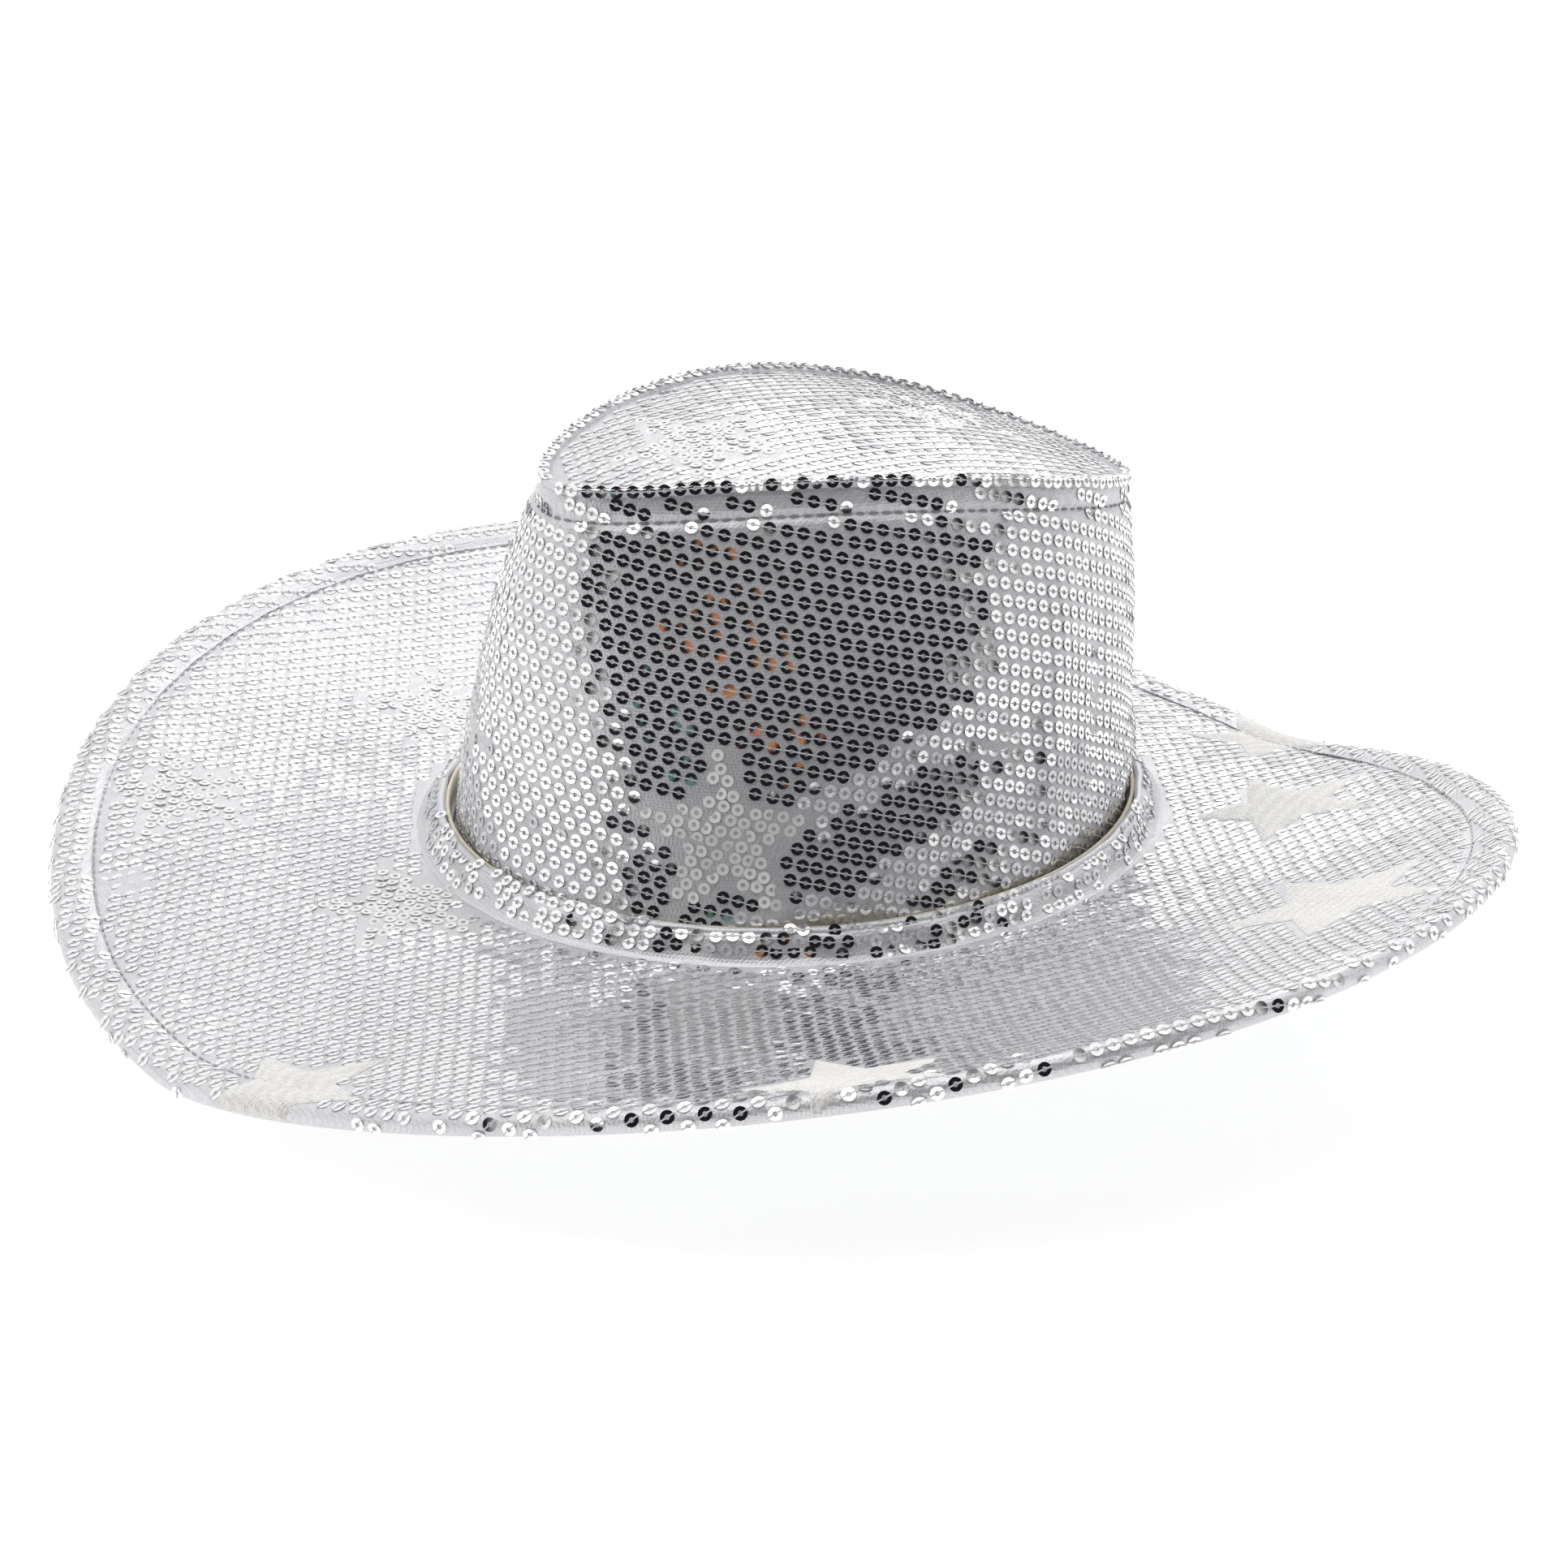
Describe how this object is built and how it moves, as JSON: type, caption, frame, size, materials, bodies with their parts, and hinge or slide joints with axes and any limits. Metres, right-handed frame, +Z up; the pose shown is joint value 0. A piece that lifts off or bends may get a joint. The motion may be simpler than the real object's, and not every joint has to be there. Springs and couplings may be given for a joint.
{
  "type": "party hat",
  "caption": "Sequinned party cowboy hat with a tapered crown, a teardrop tip, a stand-up collar and a wide wired brim curled up at its sides.",
  "frame": {"origin": "under the middle of the brim's bounding box, on the surface that the brim rests on", "axes": "+Z up out of the crown's tip, -Y towards the hat's front, +X towards the wearer's left"},
  "size_m": [0.4146, 0.3706, 0.1278],
  "materials": {
    "sequin_cloth": "silver knit cloth with flat mirror ring sequins",
    "stiffener_sheet": "closed-cell foam sheet",
    "lining_satin": "white satin",
    "under_knit": "silver-grey knit",
    "beige_band": "glossy beige woven band",
    "white_tape": "woven seam tape",
    "spring_wire": "drawn wire",
    "wire_sleeve": "plastic tube",
    "thread": "silver-grey polyester thread"
  },
  "bodies": {
    "root": {"brim_collar_core": "stiffener_sheet", "brim_collar_fabric": "sequin_cloth", "brim_edge_hem": "sequin_cloth", "brim_edge_topstitch": "thread", "brim_edge_wire": "spring_wire", "brim_stiffener": "stiffener_sheet", "brim_top_fabric": "sequin_cloth", "brim_under_fabric": "under_knit", "brim_wire_sleeve": "wire_sleeve", "collar_binding_tape": "beige_band", "crown_back_seam_tape": "white_tape", "crown_joining_tape": "white_tape", "crown_tip_fabric": "sequin_cloth", "crown_tip_lining": "lining_satin", "crown_tip_stiffener": "stiffener_sheet", "crown_tip_topstitch": "thread", "crown_tip_welt": "sequin_cloth", "crown_wall_fabric": "sequin_cloth", "crown_wall_lining": "lining_satin", "crown_wall_stiffener": "stiffener_sheet", "sweatband": "beige_band", "sweatband_stitching": "thread"}
  },
  "joints": []
}
